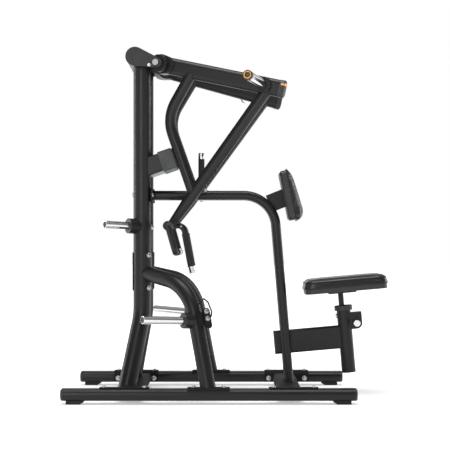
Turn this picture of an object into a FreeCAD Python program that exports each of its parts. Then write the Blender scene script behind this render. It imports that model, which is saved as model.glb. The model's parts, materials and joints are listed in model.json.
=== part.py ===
"""Plate-loaded low row: a chest-supported rowing machine with two independent swinging arms.

Millimetres. +X points towards the seat, +Z is up, and the user's left is -Y.
The origin is on the floor under the middle of the machine's bounding box.
"""
import FreeCAD, Part
import math
import os
import Sketcher

V = FreeCAD.Vector
X_AXIS, Y_AXIS, Z_AXIS = V(1, 0, 0), V(0, 1, 0), V(0, 0, 1)
SIDES = {"left": -1, "right": 1}

doc = FreeCAD.newDocument("low_row")
sheet = doc.addObject("Spreadsheet::Sheet", "sizes")

SIZES = {
    # base: two flat-oval rails, 475 mm out from the middle plane
    "rail_y": 475, "rail_wide": 110, "rail_tall": 62, "rail_wall": 3, "rail_rear": -853, "rail_front": 649,
    "rail_mid_up": 49, "cap_thick": 12, "foot_long": 92, "foot_wide": 64, "foot_tall": 18,
    "foot_rear": -792, "foot_front": 584,
    "cross_wide": 130, "cross_tall": 52, "cross_round": 20, "cross_wall": 3, "cross_up": 47,
    "cross_half": 440, "rear_cross": -514, "front_cross": 318, "rear_saddle": -539, "front_saddle": 334,
    "saddle_long": 254, "saddle_thick": 6,
    "saddle_wide": 122, "saddle_tall": 74, "arch_saddle": -104, "arch_saddle_long": 218,
    # uprights: vertical above the bend, leaning back and outwards below it
    "upright_rad": 47.5, "upright_wall": 3, "upright_x": -469, "upright_y": 120, "upright_top": 1800,
    "upright_bend_up": 440, "upright_foot_x": -541, "upright_foot_y": 238, "upright_foot_up": 70,
    "upright_bend_rad": 300,
    # arches that carry the lower storage horns
    "arch_rad": 40, "arch_wall": 3, "arch_start_x": -455, "arch_start_y": 130, "arch_start_up": 667,
    "arch_knee_reach": 350, "arch_knee_up": 604, "arch_foot_x": -106, "arch_foot_up": 76, "arch_bend_rad": 260,
    "plate_tall": 205, "plate_thick": 6, "plate_up": 675,
    # pivot head
    "head_x": -502, "head_up": 1826, "head_rad": 50, "head_wall": 5, "head_half": 213,
    "pivot_plate_thick": 12, "pivot_nose_rad": 27, "inner_plate_y": 40,
    "pivot_x": -356, "pivot_y": 118, "pivot_up": 1794, "splay": 17.5,
    "shaft_rad": 15, "shaft_out": 118, "shaft_in": 96, "hub_rad": 47, "hub_out": 78, "hub_in": 55,
    "bush_wall": 5, "bush_long": 30, "bush_gap": 0.05, "spacer_rad": 22,
    "hub_plate_rad": 53, "hub_nose_rad": 46, "hub_nose_reach": 27, "hub_plate_wide": 72,
    # arms, in each arm's own plane: reach is measured forward from the pivot
    "arm_tall": 92, "arm_wide": 52, "arm_wall": 3, "arm_fall": 13, "arm_end": 672,
    "arm_cap_tall": 95, "arm_cap_wide": 55,
    "strut_rad": 30, "strut_wall": 3, "rear_top_reach": 172, "rear_knee_reach": 22, "rear_knee_up": 1507,
    "rear_low_reach": 174, "rear_low_up": 1095, "rear_bend_rad": 200, "front_rad": 31, "front_tip_rad": 23,
    "front_taper": 150, "front_top_reach": 600, "front_top_up": 1659, "front_low_reach": 50, "front_low_up": 931,
    "horn_reach": 574, "horn_rad": 25, "horn_long": 256, "horn_lift": 3.7, "collar_rad": 42, "collar_out": 44,
    "collar_in": 40, "inner_collar_rad": 31, "horn_cap_rad": 25, "horn_cap_long": 26, "arm_cap_long": 30,
    "handle_x": -314, "handle_up": 925, "handle_rad": 16, "cross_bar_rad": 17, "bar_in_y": 74, "bar_out_y": 290,
    "end_boss_rad": 26, "end_boss_long": 32, "end_boss_x": -323, "end_boss_up": 920,
    "outer_grip_rad": 17.5, "outer_y": 298, "outer_corner_x": -283, "outer_corner_up": 780, "outer_end_x": -277,
    "outer_end_y": 170, "outer_bend_rad": 24, "outer_sleeve_from": 34, "outer_cap_long": 9,
    "inner_grip_rad": 19, "handle_wall": 3, "handle_bend_rad": 45, "inner_knee_reach": 95, "inner_knee_in": 64,
    "inner_low_reach": 135, "inner_low_up": 701, "inner_low_in": 75, "inner_sleeve_from": 46,
    "inner_cap_long": 38,
    # arm stop
    "stop_half": 154, "stop_deep": 98, "stop_wall": 4, "stop_cap_over": 6, "stop_cap_long": 74,
    "stop_pad_thick": 8, "stop_pad_wide": 58, "stop_gap": 0.4,
    # plate storage horns
    "store_rad": 21, "boss_rad": 41, "upper_store_up": 917, "upper_store_long": 141, "upper_boss_long": 88,
    "lower_store_long": 240, "lower_boss_long": 78, "lower_store_up": 424, "store_swing": 33, "store_lift": 2.6,
    "store_wall": 4, "store_recess": 5, "horn_wall": 4,
    # chest-pad frame: two tubes that clasp the seat beam
    "chest_rad": 25, "chest_wall": 3, "chest_y": 50, "chest_start": -415.5, "chest_up": 1089, "chest_knee": 244,
    "chest_foot": 329, "chest_foot_up": 73, "chest_bend_rad": 178, "flange_tall": 76, "flange_half": 158,
    "flange_thick": 6, "bracket_deep": 98, "bracket_wide": 49.4, "bracket_tilt": 22,
    "pad_x": 337, "pad_up": 1091, "pad_lean": 11.7, "pad_tall": 290, "pad_wide": 240, "pad_thick": 43,
    "backing_thick": 38, "backing_inset": 8,
    # fixed centre handle
    "post_x": -151, "post_rad": 16, "post_up": 1322, "post_base_long": 60, "post_base_tall": 54,
    # seat
    "beam_deep": 128, "beam_wide": 49.4, "beam_wall": 4, "beam_start": 256, "beam_end": 640, "beam_up": 282,
    "seat_lean": 5, "seat_post_rad": 38.5, "seat_post_wall": 4, "seat_post_x": 644, "seat_post_up": 300,
    "seat_post_low": -182, "seat_post_high": 160, "bush_rad": 49, "bush_tall": 28, "bush_plug": 30,
    "stem_rad": 15, "stem_shift": 8, "stem_low": -130, "stem_high": 256, "stem_gap": 0.05,
    "seat_shift": 17.4, "seat_long": 460, "seat_wide": 330, "seat_thick": 50, "seat_plate_thick": 26,
    "seat_inset": 8, "latch_tall": 92, "latch_core_rad": 8, "latch_travel": 12, "latch_half": 30, "latch_thick": 6,
    "latch_x": 699, "latch_up": 391, "latch_bar_rad": 19, "latch_bar_half": 66, "latch_gap": 0.05,
    "latch_pin_rad": 7, "latch_round": 32,
    # accessory hook on the left arch
    "hook_tall": 108, "hook_wide": 40, "hook_thick": 14, "hook_strap_thick": 6, "hook_wire_rad": 4,
    # fasteners
    "bolt_head_rad": 11, "bolt_head_tall": 8,
}
for row, (alias, value) in enumerate(SIZES.items(), start=1):
    sheet.set("A%d" % row, alias)
    sheet.set("B%d" % row, str(value))
    sheet.setAlias("B%d" % row, alias)
doc.recompute()


def val(alias):
    """A driving dimension, read from the sheet."""
    return float(sheet.get(alias))


def bind(obj, **expressions):
    """Tie properties to cells; a word in an expression that names a cell is read from the sheet."""
    for prop, text in expressions.items():
        obj.setExpression(prop, on_sheet(text))


def on_sheet(text):
    """An expression with each cell's name put in full."""
    word, out = "", ""
    for letter in str(text) + " ":
        if letter.isalnum() or letter in "_.":
            word += letter
            continue
        out += "sizes." + word if word in SIZES else word
        out += letter
        word = ""
    return out.strip()


# ---------------------------------------------------------------- shape helpers
def turn(z_to, x_to=None):
    """The rotation that sends local +Z to z_to, with local +X as near as it can be to x_to."""
    if x_to is None:
        return FreeCAD.Rotation(Z_AXIS, z_to)
    return FreeCAD.Rotation(x_to, V(0, 0, 0), z_to, "ZXY")


def cylinder(name, radius, length, base, axis):
    rod = doc.addObject("Part::Cylinder", name)
    bind(rod, Radius=radius, Height=length)
    rod.Placement = FreeCAD.Placement(base, turn(axis))
    return rod


def box(name, size, middle, rotation=None):
    """A box of three bound sizes about its middle."""
    block = doc.addObject("Part::Box", name)
    bind(block, Length=size[0], Width=size[1], Height=size[2])
    rotation = rotation or FreeCAD.Rotation()
    doc.recompute()
    half = V(block.Length.Value, block.Width.Value, block.Height.Value) * 0.5
    block.Placement = FreeCAD.Placement(middle - rotation.multVec(half), rotation)
    return block


def cut(name, base, *tools):
    """base minus each tool."""
    for index, tool in enumerate(tools):
        result = doc.addObject("Part::Cut", name if index == len(tools) - 1 else name + "_step")
        result.Base, result.Tool = base, tool
        base = result
    return base


def common(name, *shapes):
    both = doc.addObject("Part::MultiCommon", name)
    both.Shapes = list(shapes)
    return both


def fuse(name, *shapes):
    joined = doc.addObject("Part::MultiFuse", name)
    joined.Shapes = list(shapes)
    return joined


def group(name, *shapes):
    """Separate solids that share one node."""
    several = doc.addObject("Part::Compound", name)
    several.Links = list(shapes)
    return several


def rounded(name, block, radius, pick):
    """Fillet the edges of block that pick accepts; the fillets are read from the sheet's value."""
    doc.recompute()
    rounding = doc.addObject("Part::Fillet", name)
    rounding.Base = block
    edges = [i for i, edge in enumerate(block.Shape.Edges, start=1) if pick(edge)]
    rounding.Edges = [(i, radius, radius) for i in edges]
    return rounding


def along(direction):
    """Accepts straight edges that run along a direction."""
    def pick(edge):
        return len(edge.Vertexes) == 2 and abs(edge.tangentAt(edge.FirstParameter).dot(direction)) > 0.999
    return pick


def bent_path(name, points, radius):
    """Straight runs joined by tangent arcs of one radius."""
    edges, start = [], points[0]
    for before, corner, after in zip(points, points[1:], points[2:]):
        u_in, u_out = (before - corner).normalize(), (after - corner).normalize()
        half_angle = u_in.getAngle(u_out) / 2
        reach = radius / math.tan(half_angle)
        middle = corner + (u_in + u_out).normalize() * (radius / math.sin(half_angle) - radius)
        arc_from, arc_to = corner + u_in * reach, corner + u_out * reach
        edges.append(Part.LineSegment(start, arc_from).toShape())
        edges.append(Part.Arc(arc_from, middle, arc_to).toShape())
        start = arc_to
    edges.append(Part.LineSegment(start, points[-1]).toShape())
    path = doc.addObject("Part::Feature", name)
    path.Shape = Part.Wire(edges)
    return path


def swept_bar(name, path, start, tangent, radius):
    ring = doc.addObject("Part::Circle", name + "_ring")
    bind(ring, Radius=radius)
    ring.Placement = FreeCAD.Placement(start, turn(tangent))
    sweep = doc.addObject("Part::Sweep", name)
    sweep.Sections = [ring]
    sweep.Spine = (path, ["Edge%d" % (i + 1) for i in range(len(path.Shape.Edges))])
    sweep.Solid, sweep.Frenet = True, False
    return sweep


def bent_tube(name, points, bend_radius, radius, wall=None, cutters=()):
    """A round tube, or a bar where no wall is given, along straight runs and arcs."""
    path = bent_path(name + "_path", points, bend_radius)
    tangent = (points[1] - points[0]).normalize()
    bar = swept_bar(name + "_bar", path, points[0], tangent, radius)
    tools = list(cutters)
    if wall:
        tools.insert(0, swept_bar(name + "_bore", path, points[0], tangent, "%s - %s" % (radius, wall)))
    return cut(name, bar, *tools) if tools else bar


def slot_outline(sketch, half_gap, radius):
    """A flat oval about the origin: two half circles joined by straight lines along X."""
    gap, rad = val_of(half_gap), val_of(radius)
    first = sketch.GeometryCount
    arc = [Part.ArcOfCircle(Part.Circle(V(side * gap, 0, 0), Z_AXIS, rad), low, low + math.pi)
           for side, low in ((1, -math.pi / 2), (-1, math.pi / 2))]
    lines = [Part.LineSegment(V(gap, rad, 0), V(-gap, rad, 0)),
             Part.LineSegment(V(-gap, -rad, 0), V(gap, -rad, 0))]
    sketch.addGeometry(arc + lines, False)
    right, left, top, low = range(first, first + 4)
    for one, other in ((right, top), (top, left), (left, low), (low, right)):
        sketch.addConstraint(Sketcher.Constraint("Tangent", one, 2, other, 1))
    sketch.addConstraint(Sketcher.Constraint("Equal", right, left))
    sketch.addConstraint(Sketcher.Constraint("Symmetric", right, 3, left, 3, -1, 1))
    sketch.addConstraint(Sketcher.Constraint("PointOnObject", right, 3, -1))
    index = sketch.addConstraint(Sketcher.Constraint("Radius", right, rad))
    sketch.setExpression("Constraints[%d]" % index, on_sheet(radius))
    index = sketch.addConstraint(Sketcher.Constraint("DistanceX", left, 3, right, 3, 2 * gap))
    sketch.setExpression("Constraints[%d]" % index, "2 * (%s)" % on_sheet(half_gap))


def val_of(expression):
    """The number an expression over the sheet's cells comes to."""
    total, sign = 0.0, 1
    for term in expression.split():
        if term in "+-":
            sign = 1 if term == "+" else -1
            continue
        factors = [val(part) if part in SIZES else float(part) for part in term.split("/")]
        number = factors[0]
        for factor in factors[1:]:
            number /= factor
        total += sign * number
    return total


def padded(name, draw, length):
    """A body with one sketch on its XY plane, padded along its +Z; draw adds the outline."""
    body = doc.addObject("PartDesign::Body", name)
    sketch = body.newObject("Sketcher::SketchObject", name + "_outline")
    plane = [f for f in body.Origin.OriginFeatures if f.Role == "XY_Plane"][0]
    sketch.AttachmentSupport = [(plane, "")]
    sketch.MapMode = "FlatFace"
    draw(sketch)
    pad = body.newObject("PartDesign::Pad", name + "_pad")
    pad.Profile = sketch
    bind(pad, Length=length)
    return body


def flat_oval(name, wide, tall, length, base, axis, wide_along, wall=None):
    """A flat-oval bar or tube from base along axis, its long width along wide_along."""
    def draw(sketch):
        half_gap = "%s/2 - %s/2" % (wide, tall)
        slot_outline(sketch, half_gap, "%s/2" % tall)
        if wall:
            slot_outline(sketch, half_gap, "%s/2 - %s" % (tall, wall))
    body = padded(name, draw, length)
    body.Placement = FreeCAD.Placement(base, turn(axis, wide_along))
    return body


def pear_outline(sketch, big, small, reach):
    """Two circles' hull: the big one about the origin, the small one at reach along +X."""
    lean = math.acos((big - small) / reach)
    up = V(math.cos(lean), math.sin(lean), 0)
    down = V(up.x, -up.y, 0)
    far = V(reach, 0, 0)
    sketch.addGeometry([
        Part.ArcOfCircle(Part.Circle(V(0, 0, 0), Z_AXIS, big), lean, 2 * math.pi - lean),
        Part.ArcOfCircle(Part.Circle(far, Z_AXIS, small), -lean, lean),
        Part.LineSegment(up * big, far + up * small), Part.LineSegment(down * big, far + down * small)], False)
    for one, its_end, other, other_end in ((0, 1, 2, 1), (2, 2, 1, 2), (1, 1, 3, 2), (3, 1, 0, 2)):
        sketch.addConstraint(Sketcher.Constraint("Tangent", one, its_end, other, other_end))
    sketch.addConstraint(Sketcher.Constraint("Coincident", 0, 3, -1, 1))
    sketch.addConstraint(Sketcher.Constraint("PointOnObject", 1, 3, -1))
    sketch.addConstraint(Sketcher.Constraint("Radius", 0, big))
    sketch.addConstraint(Sketcher.Constraint("Radius", 1, small))
    sketch.addConstraint(Sketcher.Constraint("DistanceX", 0, 3, 1, 3, reach))


def bolt(name, under_head, axis):
    """A button-head bolt: its head stands on a surface point and faces along axis."""
    head = cylinder(name + "_head", "bolt_head_rad", "bolt_head_tall", under_head, axis)
    return rounded(name + "_crown", head, val("bolt_head_tall") * 0.55, top_rim(under_head, axis))


def top_rim(base, axis):
    """Accepts the round edge at the far end of a cylinder that starts at base."""
    def pick(edge):
        if not isinstance(edge.Curve, Part.Circle):
            return False
        return (edge.Curve.Center - base).dot(axis) > 1
    return pick


def along_rims(edge):
    """Accepts every round edge."""
    return isinstance(edge.Curve, Part.Circle)


def end_rim(end, axis):
    """Accepts round edges that lie in the plane through end."""
    def pick(edge):
        return isinstance(edge.Curve, Part.Circle) and abs((edge.Curve.Center - end).dot(axis)) < 0.5
    return pick


nodes = {}


def node(name, obj):
    """Names a finished sub-part; its label becomes its file's name."""
    obj.Label = name
    nodes[name] = obj
    return obj


# ---------------------------------------------------------------- base
rail_length = "rail_front - rail_rear"
rails = {}
caps, feet, saddles, bolts = [], [], [], []
for side, sign in SIDES.items():
    rail_base = V(val("rail_rear"), sign * val("rail_y"), val("rail_mid_up"))
    rail = flat_oval("rail_%s_tube" % side, "rail_wide", "rail_tall", rail_length, rail_base, X_AXIS, Y_AXIS,
                     "rail_wall")
    node("rail_" + side, rail)
    rails[side] = flat_oval("rail_%s_solid" % side, "rail_wide", "rail_tall", rail_length, rail_base, X_AXIS,
                            Y_AXIS)
    for end, at, direction in (("rear", "rail_rear", -1), ("front", "rail_front", 1)):
        outward = X_AXIS * direction
        start = V(val(at), rail_base.y, rail_base.z)
        plug = flat_oval("cap_%s_%s" % (side, end), "rail_wide", "rail_tall", "cap_thick", start, outward,
                         Y_AXIS)
        outer = start.x + direction * val("cap_thick")
        caps.append(rounded("cap_%s_%s_round" % (side, end), plug, 9,
                            lambda edge, outer=outer: abs(edge.CenterOfMass.x - outer) < 0.5))
        foot = box("foot_%s_%s" % (side, end), ("foot_long", "foot_wide", "foot_tall"),
                   V(val("foot_" + end), rail_base.y, val("foot_tall") / 2))
        doc.recompute()
        bevel = doc.addObject("Part::Chamfer", foot.Name + "_bevel")
        bevel.Base = foot
        inner_x = val("foot_" + end) - direction * val("foot_long") / 2
        low_inner = [i for i, edge in enumerate(foot.Shape.Edges, start=1)
                     if abs(edge.CenterOfMass.x - inner_x) < 0.1 and edge.CenterOfMass.z < 0.1]
        bevel.Edges = [(i, 12, 20) for i in low_inner]
        feet.append(bevel)
node("rail_end_caps", group("caps", *caps))
node("feet", group("foot_pads", *feet))


def saddle(name, side, x, long, low, inner, outer):
    """A formed plate over a rail: the rail's outline grown by the plate, kept between inner and outer."""
    sign = SIDES[side]
    base = V(x - val(long) / 2, sign * val("rail_y"), val("rail_mid_up"))
    grown = flat_oval(name + "_grown", "saddle_wide", "saddle_tall", long, base, X_AXIS, Y_AXIS)
    top = base.z + val("rail_tall")
    keep = doc.addObject("Part::Box", name + "_keep")
    bind(keep, Length=long)
    keep.Width, keep.Height = outer - inner, top - low
    edge_y = sign * inner if sign > 0 else -outer
    keep.Placement = FreeCAD.Placement(V(base.x, edge_y, low), FreeCAD.Rotation())
    return grown, cut(name, common(name + "_formed", grown, keep), rails[side])


cross_cutters = []
rail_y, saddle_thick, rail_tall = val("rail_y"), val("saddle_thick"), val("rail_tall")
saddle_top = val("rail_mid_up") + rail_tall / 2 + saddle_thick
saddle_face = rail_y - val("rail_wide") / 2 - saddle_thick
bolt_reach, arch_bolt_reach = 104, 78
for side, sign in SIDES.items():
    for end in ("rear", "front"):
        x = val(end + "_saddle")
        grown, plate = saddle("saddle_%s_%s" % (side, end), side, x, "saddle_long", 26, saddle_face - 1,
                              rail_y + 28)
        saddles.append(plate)
        cross_cutters.append(grown)
        for step in (-bolt_reach, bolt_reach):
            bolts.append(bolt("rail_bolt_top", V(x + step, sign * rail_y, saddle_top), Z_AXIS))
            bolts.append(bolt("rail_bolt_side", V(x + step, sign * saddle_face, val("rail_mid_up") - 5),
                              Y_AXIS * -sign))
    x = val("arch_saddle")
    saddles.append(saddle("arch_saddle_" + side, side, x, "arch_saddle_long", 66, rail_y - 48,
                          rail_y + 48)[1])
    for step in (-arch_bolt_reach, arch_bolt_reach):
        bolts.append(bolt("arch_bolt", V(x + step, sign * rail_y, saddle_top), Z_AXIS))
node("rail_saddles", group("saddle_plates", *saddles))

cross_solids = {}
for end in ("rear", "front"):
    middle = V(val(end + "_cross"), 0, val("cross_up"))
    block = box(end + "_cross_block", ("cross_wide", "cross_half + cross_half", "cross_tall"), middle)
    solid = rounded(end + "_cross_solid", block, val("cross_round"), along(Y_AXIS))
    bore = box(end + "_cross_bore", ("cross_wide - 2 * cross_wall", "2 * cross_half + cross_wall",
                                     "cross_tall - 2 * cross_wall"), middle)
    bore = rounded(end + "_cross_bore_round", bore, val("cross_round") - val("cross_wall"), along(Y_AXIS))
    cross_solids[end] = solid
    node(end + "_crossmember", cut(end + "_cross_tube", solid, bore, *cross_cutters))

# ---------------------------------------------------------------- uprights, head and pivots
splay = math.radians(val("splay"))
head_axis = V(val("head_x"), 0, val("head_up"))
head_from = head_axis - Y_AXIS * val("head_half")
head_solid = cylinder("head_solid", "head_rad", "head_half + head_half", head_from, Y_AXIS)
head_bore = cylinder("head_bore", "head_rad - head_wall", "head_half + head_half",
                     head_axis - Y_AXIS * val("head_half"), Y_AXIS)
node("head_tube", cut("head_cut", head_solid, head_bore))

pivots, outwards, forwards = {}, {}, {}
for side, sign in SIDES.items():
    pivots[side] = V(val("pivot_x"), sign * val("pivot_y"), val("pivot_up"))
    outwards[side] = V(-math.sin(splay), sign * math.cos(splay), 0)
    forwards[side] = V(math.cos(splay), sign * math.sin(splay), 0)

under_foot = doc.addObject("Part::Box", "under_foot")
under_foot.Length, under_foot.Width, under_foot.Height = 400, 800, 100
under_foot.Placement = FreeCAD.Placement(V(val("rear_cross") - 200, -400, -42), FreeCAD.Rotation())
upright_solids, shafts, pivot_plates = {}, [], []
for side, sign in SIDES.items():
    pivot, outward = pivots[side], outwards[side]
    top = V(val("upright_x"), sign * val("upright_y"), val("upright_top"))
    knee = V(top.x, top.y, val("upright_bend_up"))
    foot = V(val("upright_foot_x"), sign * val("upright_foot_y"), val("upright_foot_up"))
    foot = foot + (foot - knee).normalize() * 40
    hub_room = cylinder("hub_room_" + side, "hub_rad + 7", 400, pivot - outward * 200, outward)
    points = [top, knee, foot]
    cutters = [head_solid, hub_room, cross_solids["rear"], under_foot]
    node("upright_" + side, bent_tube("upright_%s_cut" % side, points, val("upright_bend_rad"), "upright_rad",
                                      "upright_wall", cutters))
    upright_solids[side] = doc.getObject("upright_%s_cut_bar" % side)

    plate_half = val("pivot_plate_thick") / 2
    outer_y = val("head_half") + plate_half
    outer_at = (outer_y - val("pivot_y")) / math.cos(splay)
    inner_at = (val("inner_plate_y") - val("pivot_y")) / math.cos(splay)
    shaft_in, shaft_out = -val("shaft_in"), val("shaft_out")
    shaft = cylinder("shaft_" + side, "shaft_rad", "shaft_in + shaft_out", pivot + outward * shaft_in,
                     outward)
    collar_out = cylinder("spacer_out_" + side, "spacer_rad", outer_at - 8 - val("hub_out"),
                          pivot + outward * (val("hub_out") + 0.3), outward)
    collar_in = cylinder("spacer_in_" + side, "spacer_rad", -inner_at - 8 - val("hub_in"),
                         pivot + outward * (inner_at + 8 - 0.3), outward)
    head = cylinder("shaft_head_" + side, "shaft_rad + 1.5", 8, pivot + outward * (shaft_out - 3), outward)
    shaft = fuse("pivot_shaft_" + side, shaft, collar_out, collar_in, head)
    shafts.append(shaft)
    for name, at, y in (("outer", outer_at, outer_y), ("inner", inner_at, val("inner_plate_y"))):
        nose = pivot + outward * at
        hub = V(head_axis.x, nose.y, head_axis.z)
        reach = (nose - hub).Length
        big = val("head_rad") + 1 if name == "outer" else val("head_rad") - 4
        plate = padded("pivot_plate_%s_%s" % (name, side),
                       lambda sketch, reach=reach, big=big: pear_outline(sketch, big, val("pivot_nose_rad"), reach),
                       "pivot_plate_thick")
        plate.Placement = FreeCAD.Placement(hub - Y_AXIS * plate_half, turn(Y_AXIS, (nose - hub).normalize()))
        tools = [shaft] if name == "outer" else [head_solid, shaft]
        pivot_plates.append(cut("pivot_plate_%s_%s_cut" % (name, side), plate, *tools))
node("pivot_plates", group("pivot_plate_group", *pivot_plates))
node("pivot_shafts", group("pivot_shaft_group", *shafts))

# ---------------------------------------------------------------- arches, clamps and storage horns
clamps, bosses, storage, arch_solids, boss_solids = [], [], [], {}, {}
for side, sign in SIDES.items():
    start = V(val("arch_start_x"), sign * val("arch_start_y"), val("arch_start_up"))
    foot = V(val("arch_foot_x"), sign * rail_y, val("arch_foot_up"))
    plan = V(foot.x - start.x, foot.y - start.y, 0).normalize()
    knee = V(start.x, start.y, 0) + plan * val("arch_knee_reach") + Z_AXIS * val("arch_knee_up")
    low = foot + (foot - knee).normalize() * 20
    sleeve_base = V(val("upright_x"), sign * val("upright_y"), val("plate_up") - val("plate_tall") / 2)
    shells = []
    for turned, name in ((0, "front"), (180, "rear")):
        shell = doc.addObject("Part::Cylinder", "clamp_%s_%s" % (side, name))
        bind(shell, Radius="upright_rad + plate_thick", Height="plate_tall")
        shell.Angle = 130
        middle = math.degrees(math.atan2(plan.y, plan.x)) + turned
        shell.Placement = FreeCAD.Placement(sleeve_base, FreeCAD.Rotation(Z_AXIS, middle - 65))
        shells.append(cut(shell.Name + "_cut", shell, upright_solids[side]))
    clamps += shells
    rail_grown = doc.getObject("arch_saddle_%s_grown" % side)
    sleeve = cylinder("arch_room_" + side, "upright_rad + plate_thick", "plate_tall", sleeve_base, Z_AXIS)
    arch = bent_tube("arch_%s_cut" % side, [start, knee, low], val("arch_bend_rad"), "arch_rad", "arch_wall",
                     [sleeve, rail_grown])
    node("arch_" + side, arch)
    arch_solids[side] = doc.getObject("arch_%s_cut_bar" % side)
    centre = V(val("upright_x"), sign * val("upright_y"), 0)
    for step in (-88, 88):
        at = centre + plan * (val("upright_rad") + val("plate_thick")) + Z_AXIS * (val("plate_up") + step)
        bolts.append(bolt("clamp_bolt", at, plan))

    swing, lift = math.radians(val("store_swing")), math.radians(val("store_lift"))
    axis = V(-math.cos(swing) * math.cos(lift), sign * math.sin(swing) * math.cos(lift), math.sin(lift))
    leg_down = (low - knee).normalize()
    on_leg = knee + leg_down * ((val("lower_store_up") - knee.z) / leg_down.z)
    for level, root, solid, far_side in (
            ("upper", centre + Z_AXIS * val("upper_store_up"), upright_solids[side], val("upright_rad")),
            ("lower", on_leg, arch_solids[side], val("arch_rad"))):
        boss_long = val(level + "_boss_long")
        boss = cylinder("boss_%s_%s" % (level, side), "boss_rad", level + "_boss_long", root, axis)
        boss = rounded(boss.Name + "_round", boss, 3, end_rim(root + axis * boss_long, axis))
        boss_solids[side, level] = boss
        bosses.append(cut(boss.Name + "_cut", boss, solid))
        horn = cylinder("store_%s_%s" % (level, side), "store_rad", level + "_store_long",
                        root + axis * boss_long, axis)
        tip = root + axis * (boss_long + val(level + "_store_long"))
        horn = rounded(horn.Name + "_round", horn, 2, end_rim(tip, axis))
        hollow = cylinder(horn.Name + "_bore", "store_rad - store_wall",
                          level + "_store_long - 4 * store_recess", root + axis * boss_long, axis)
        recess = cylinder(horn.Name + "_recess", "store_rad - store_wall", "2 * store_recess",
                          tip - axis * val("store_recess"), axis)
        storage.append(cut(horn.Name + "_cut", horn, hollow, recess))
        run = Z_AXIS if level == "upper" else leg_down
        facing = (run * axis.dot(run) - axis).normalize()
        bolts.append(bolt("store_bolt", root + facing * far_side, facing))
node("clamp_plates", group("clamp_plate_group", *clamps))
node("storage_bosses", group("storage_boss_group", *bosses))
node("storage_horns", group("storage_horn_group", *storage))

# ---------------------------------------------------------------- arm stop
strut_lean = math.atan((val("rear_low_reach") - val("rear_knee_reach"))
                       / (val("rear_knee_up") - val("rear_low_up")))
stop_tilt = math.atan(math.tan(strut_lean) * math.cos(splay))
stop_out = V(math.cos(stop_tilt), 0, math.sin(stop_tilt))
stop_rotation = turn(V(-math.sin(stop_tilt), 0, math.cos(stop_tilt)), stop_out)
strut_reach = val("rear_knee_reach") + math.tan(strut_lean) * (val("rear_knee_up") - 1303)
strut_x = val("pivot_x") + strut_reach * math.cos(splay)
pad_face = V(strut_x, 0, 1303) - stop_out * (val("strut_rad") + val("stop_gap"))
cap_face = pad_face - stop_out * val("stop_pad_thick")
stop_pads = []
for side, sign in SIDES.items():
    middle = cap_face + stop_out * (val("stop_pad_thick") / 2) + Y_AXIS * sign * (val("stop_half") - 23)
    stop_pads.append(box("stop_pad_" + side, ("stop_pad_thick", "stop_pad_wide", "stop_deep"), middle,
                         stop_rotation))
node("stop_pads", group("stop_pad_group", *stop_pads))
cap_middle = cap_face - stop_out * (val("stop_cap_long") / 2)
cap_size = ("stop_cap_long", "2 * stop_half + 2 * stop_cap_over", "stop_deep + 2 * stop_cap_over")
stop_cap = box("stop_cap_block", cap_size,
               cap_middle, stop_rotation)
stop_cap = rounded("stop_cap_round", stop_cap, 8, along(stop_out))
beam_long = 190
beam_middle = cap_face - stop_out * (4 + beam_long / 2)
stop_beam = box("stop_beam_block", (beam_long, "2 * stop_half", "stop_deep"), beam_middle, stop_rotation)
stop_beam = rounded("stop_beam_round", stop_beam, 10, along(stop_out))
stop_bore = box("stop_bore", (beam_long + 20, "2 * stop_half - 2 * stop_wall", "stop_deep - 2 * stop_wall"),
                beam_middle, stop_rotation)
behind = doc.addObject("Part::Box", "stop_behind")
behind.Length, behind.Width, behind.Height = 200, 800, 600
behind.Placement = FreeCAD.Placement(V(val("upright_x") - 200, -400, 1000), FreeCAD.Rotation())
node("stop_cap", cut("stop_cap_cut", stop_cap, stop_beam))
node("stop_beam", cut("stop_beam_cut", stop_beam, stop_bore, behind, upright_solids["left"],
                      upright_solids["right"]))

# ---------------------------------------------------------------- chest-pad frame
chest_solids = {}
for side, sign in SIDES.items():
    y = sign * val("chest_y")
    knee = V(val("chest_knee"), y, val("chest_up"))
    foot = V(val("chest_foot"), y, val("chest_foot_up"))
    low = foot + (foot - knee).normalize() * 20
    tube = bent_tube("chest_%s_cut" % side, [V(val("chest_start"), y, val("chest_up")), knee, low],
                     val("chest_bend_rad"), "chest_rad", "chest_wall", [cross_solids["front"]])
    node("chest_frame_" + side, tube)
    chest_solids[side] = doc.getObject("chest_%s_cut_bar" % side)
    for x, direction in ((val("chest_start"), 1), (val("upright_x") - val("upright_rad"), -1)):
        bolts.append(bolt("flange_bolt", V(x, sign * val("upright_y"), val("chest_up")), X_AXIS * direction))
flange = box("flange_block", ("flange_thick", "flange_half + flange_half", "flange_tall"),
             V(val("chest_start") - val("flange_thick") / 2, 0, val("chest_up")))
node("chest_frame_flange", rounded("flange_round", flange, 12, along(X_AXIS)))

lean = math.radians(val("pad_lean"))
pad_out = V(math.cos(lean), 0, math.sin(lean))
pad_rotation = turn(V(-math.sin(lean), 0, math.cos(lean)), pad_out)
pad_middle = V(val("pad_x"), 0, val("pad_up"))
tilt = math.radians(val("bracket_tilt"))
bracket_rotation = turn(V(-math.sin(tilt), 0, math.cos(tilt)), V(math.cos(tilt), 0, math.sin(tilt)))
bracket = box("bracket_block", (110, "bracket_wide", "bracket_deep"), V(272, 0, 1064), bracket_rotation)
bracket = rounded("bracket_round", bracket, 8, along(V(math.cos(tilt), 0, math.sin(tilt))))
beyond = doc.addObject("Part::Box", "beyond_backing")
beyond.Length, beyond.Width, beyond.Height = 200, 400, 600
beyond.Placement = FreeCAD.Placement(pad_middle + pad_rotation.multVec(V(-val("backing_thick"), -200, -300)),
                                     pad_rotation)
node("chest_pad_bracket", cut("bracket_cut", bracket, beyond))
inset = " - 2 * backing_inset"
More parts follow.
